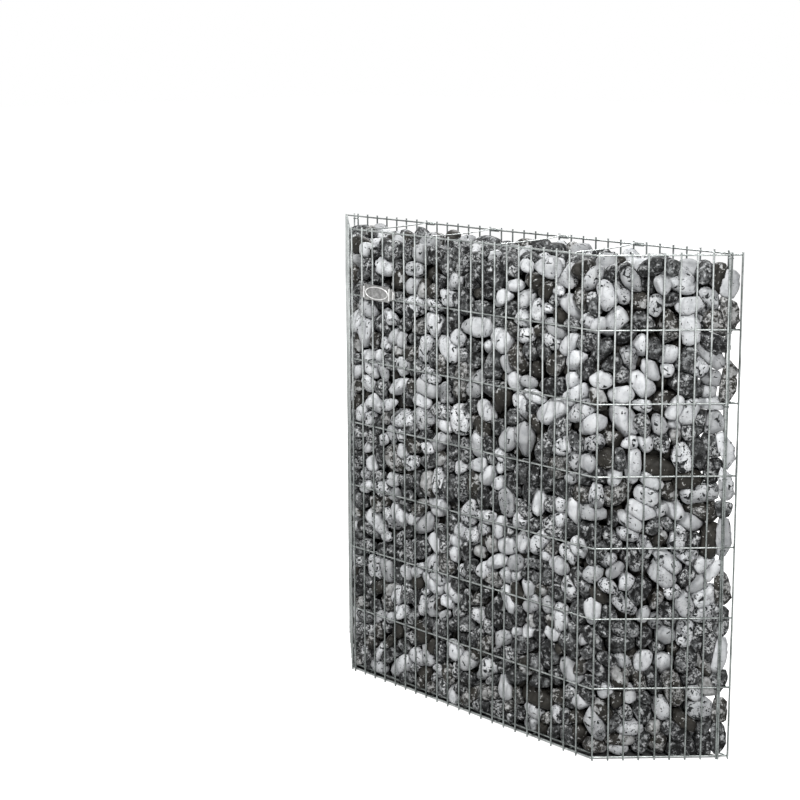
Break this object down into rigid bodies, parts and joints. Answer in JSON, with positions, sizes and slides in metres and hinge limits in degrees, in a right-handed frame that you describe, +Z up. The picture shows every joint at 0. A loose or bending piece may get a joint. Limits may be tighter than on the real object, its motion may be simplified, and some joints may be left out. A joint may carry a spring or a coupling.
{
  "type": "gabion wall",
  "caption": "Free-standing mitred gabion wall: a welded wire basket, open on top, filled with tumbled stones, with a blank oval plate.",
  "frame": {"origin": "on the ground, at the middle of the plan", "axes": "+Z up, +X along the wall, the short front faces -Y and the long back faces +Y"},
  "size_m": [1.0416, 0.2012, 1],
  "materials": {
    "mesh_wire": "galvanised, dull",
    "closing_wire": "galvanised, dull",
    "spacer_wire": "galvanised, satin",
    "plate_metal": "satin, cast with a raised rim",
    "stones": "tumbled pebbles, matte, white, grey and dark"
  },
  "bodies": {
    "root": {"front_mesh": "mesh_wire", "back_mesh": "mesh_wire", "left_end_mesh": "mesh_wire", "right_end_mesh": "mesh_wire", "left_corner_strip": "mesh_wire", "right_corner_strip": "mesh_wire", "base_mesh": "mesh_wire", "left_joint_rings": "closing_wire", "right_joint_rings": "closing_wire", "top_spacer_1": "spacer_wire", "top_spacer_2": "spacer_wire", "top_spacer_3": "spacer_wire", "top_spacer_4": "spacer_wire", "upper_spacer_1": "spacer_wire", "upper_spacer_2": "spacer_wire", "upper_spacer_3": "spacer_wire", "upper_spacer_4": "spacer_wire", "lower_spacer_1": "spacer_wire", "lower_spacer_2": "spacer_wire", "lower_spacer_3": "spacer_wire", "lower_spacer_4": "spacer_wire", "name_plate": "plate_metal", "plate_clips": "plate_metal", "stone_fill": "stones"}
  },
  "joints": []
}
